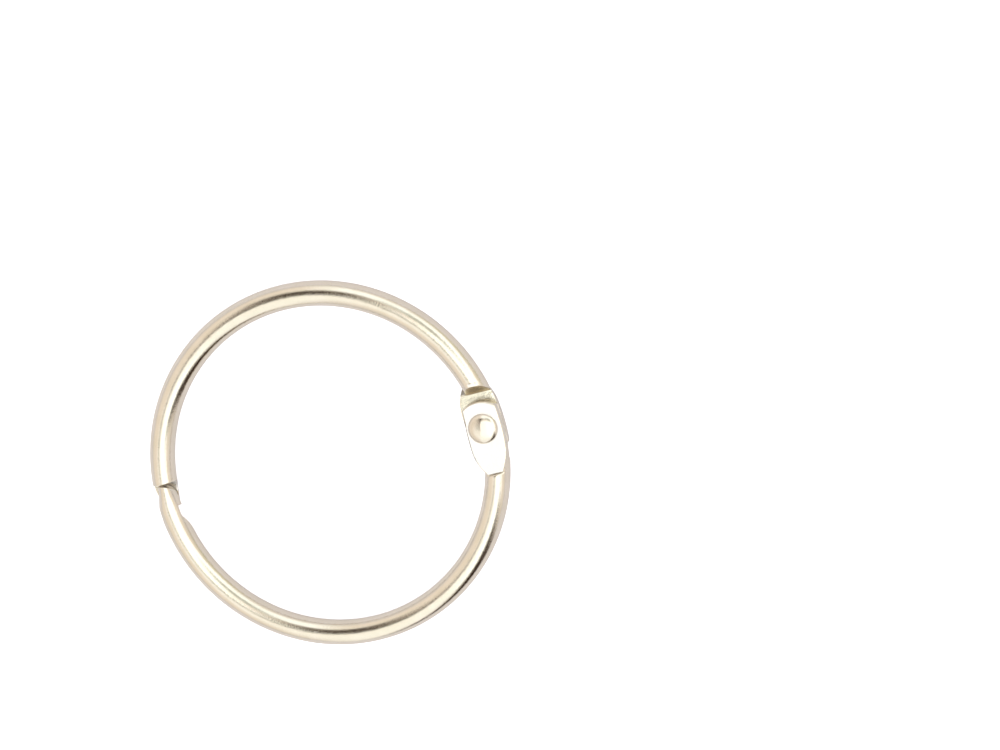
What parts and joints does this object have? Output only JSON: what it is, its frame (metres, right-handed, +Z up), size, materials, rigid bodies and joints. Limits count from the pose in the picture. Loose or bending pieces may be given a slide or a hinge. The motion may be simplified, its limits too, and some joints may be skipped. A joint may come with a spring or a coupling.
{
  "type": "binder ring",
  "caption": "Hinged loose-leaf binder ring of round nickel-plated wire: half rings riveted at flattened ears swing open, and lapped stepped tongues close the ring.",
  "frame": {"origin": "middle of the ring, on the surface that it lies on", "axes": "+X from the middle towards the hinge rivet, +Y towards the rear half ring, +Z up along the ring's axis"},
  "size_m": [0.044, 0.044, 0.0033],
  "materials": {
    "nickel_wire": "bright nickel plating, slightly satin, warm tint",
    "nickel_rivet": "bright nickel plating"
  },
  "bodies": {
    "rear_half": {"rear_half_ring": "nickel_wire", "hinge_rivet": "nickel_rivet"},
    "front_half": {"front_half_ring": "nickel_wire"}
  },
  "joints": [
    {"name": "hinge_swing", "type": "hinge", "parent": "rear_half", "child": "front_half", "pos_m": [0.01972, 0, 0.0015], "axis": [0, 0, 1], "range_deg": [0, 130]}
  ]
}
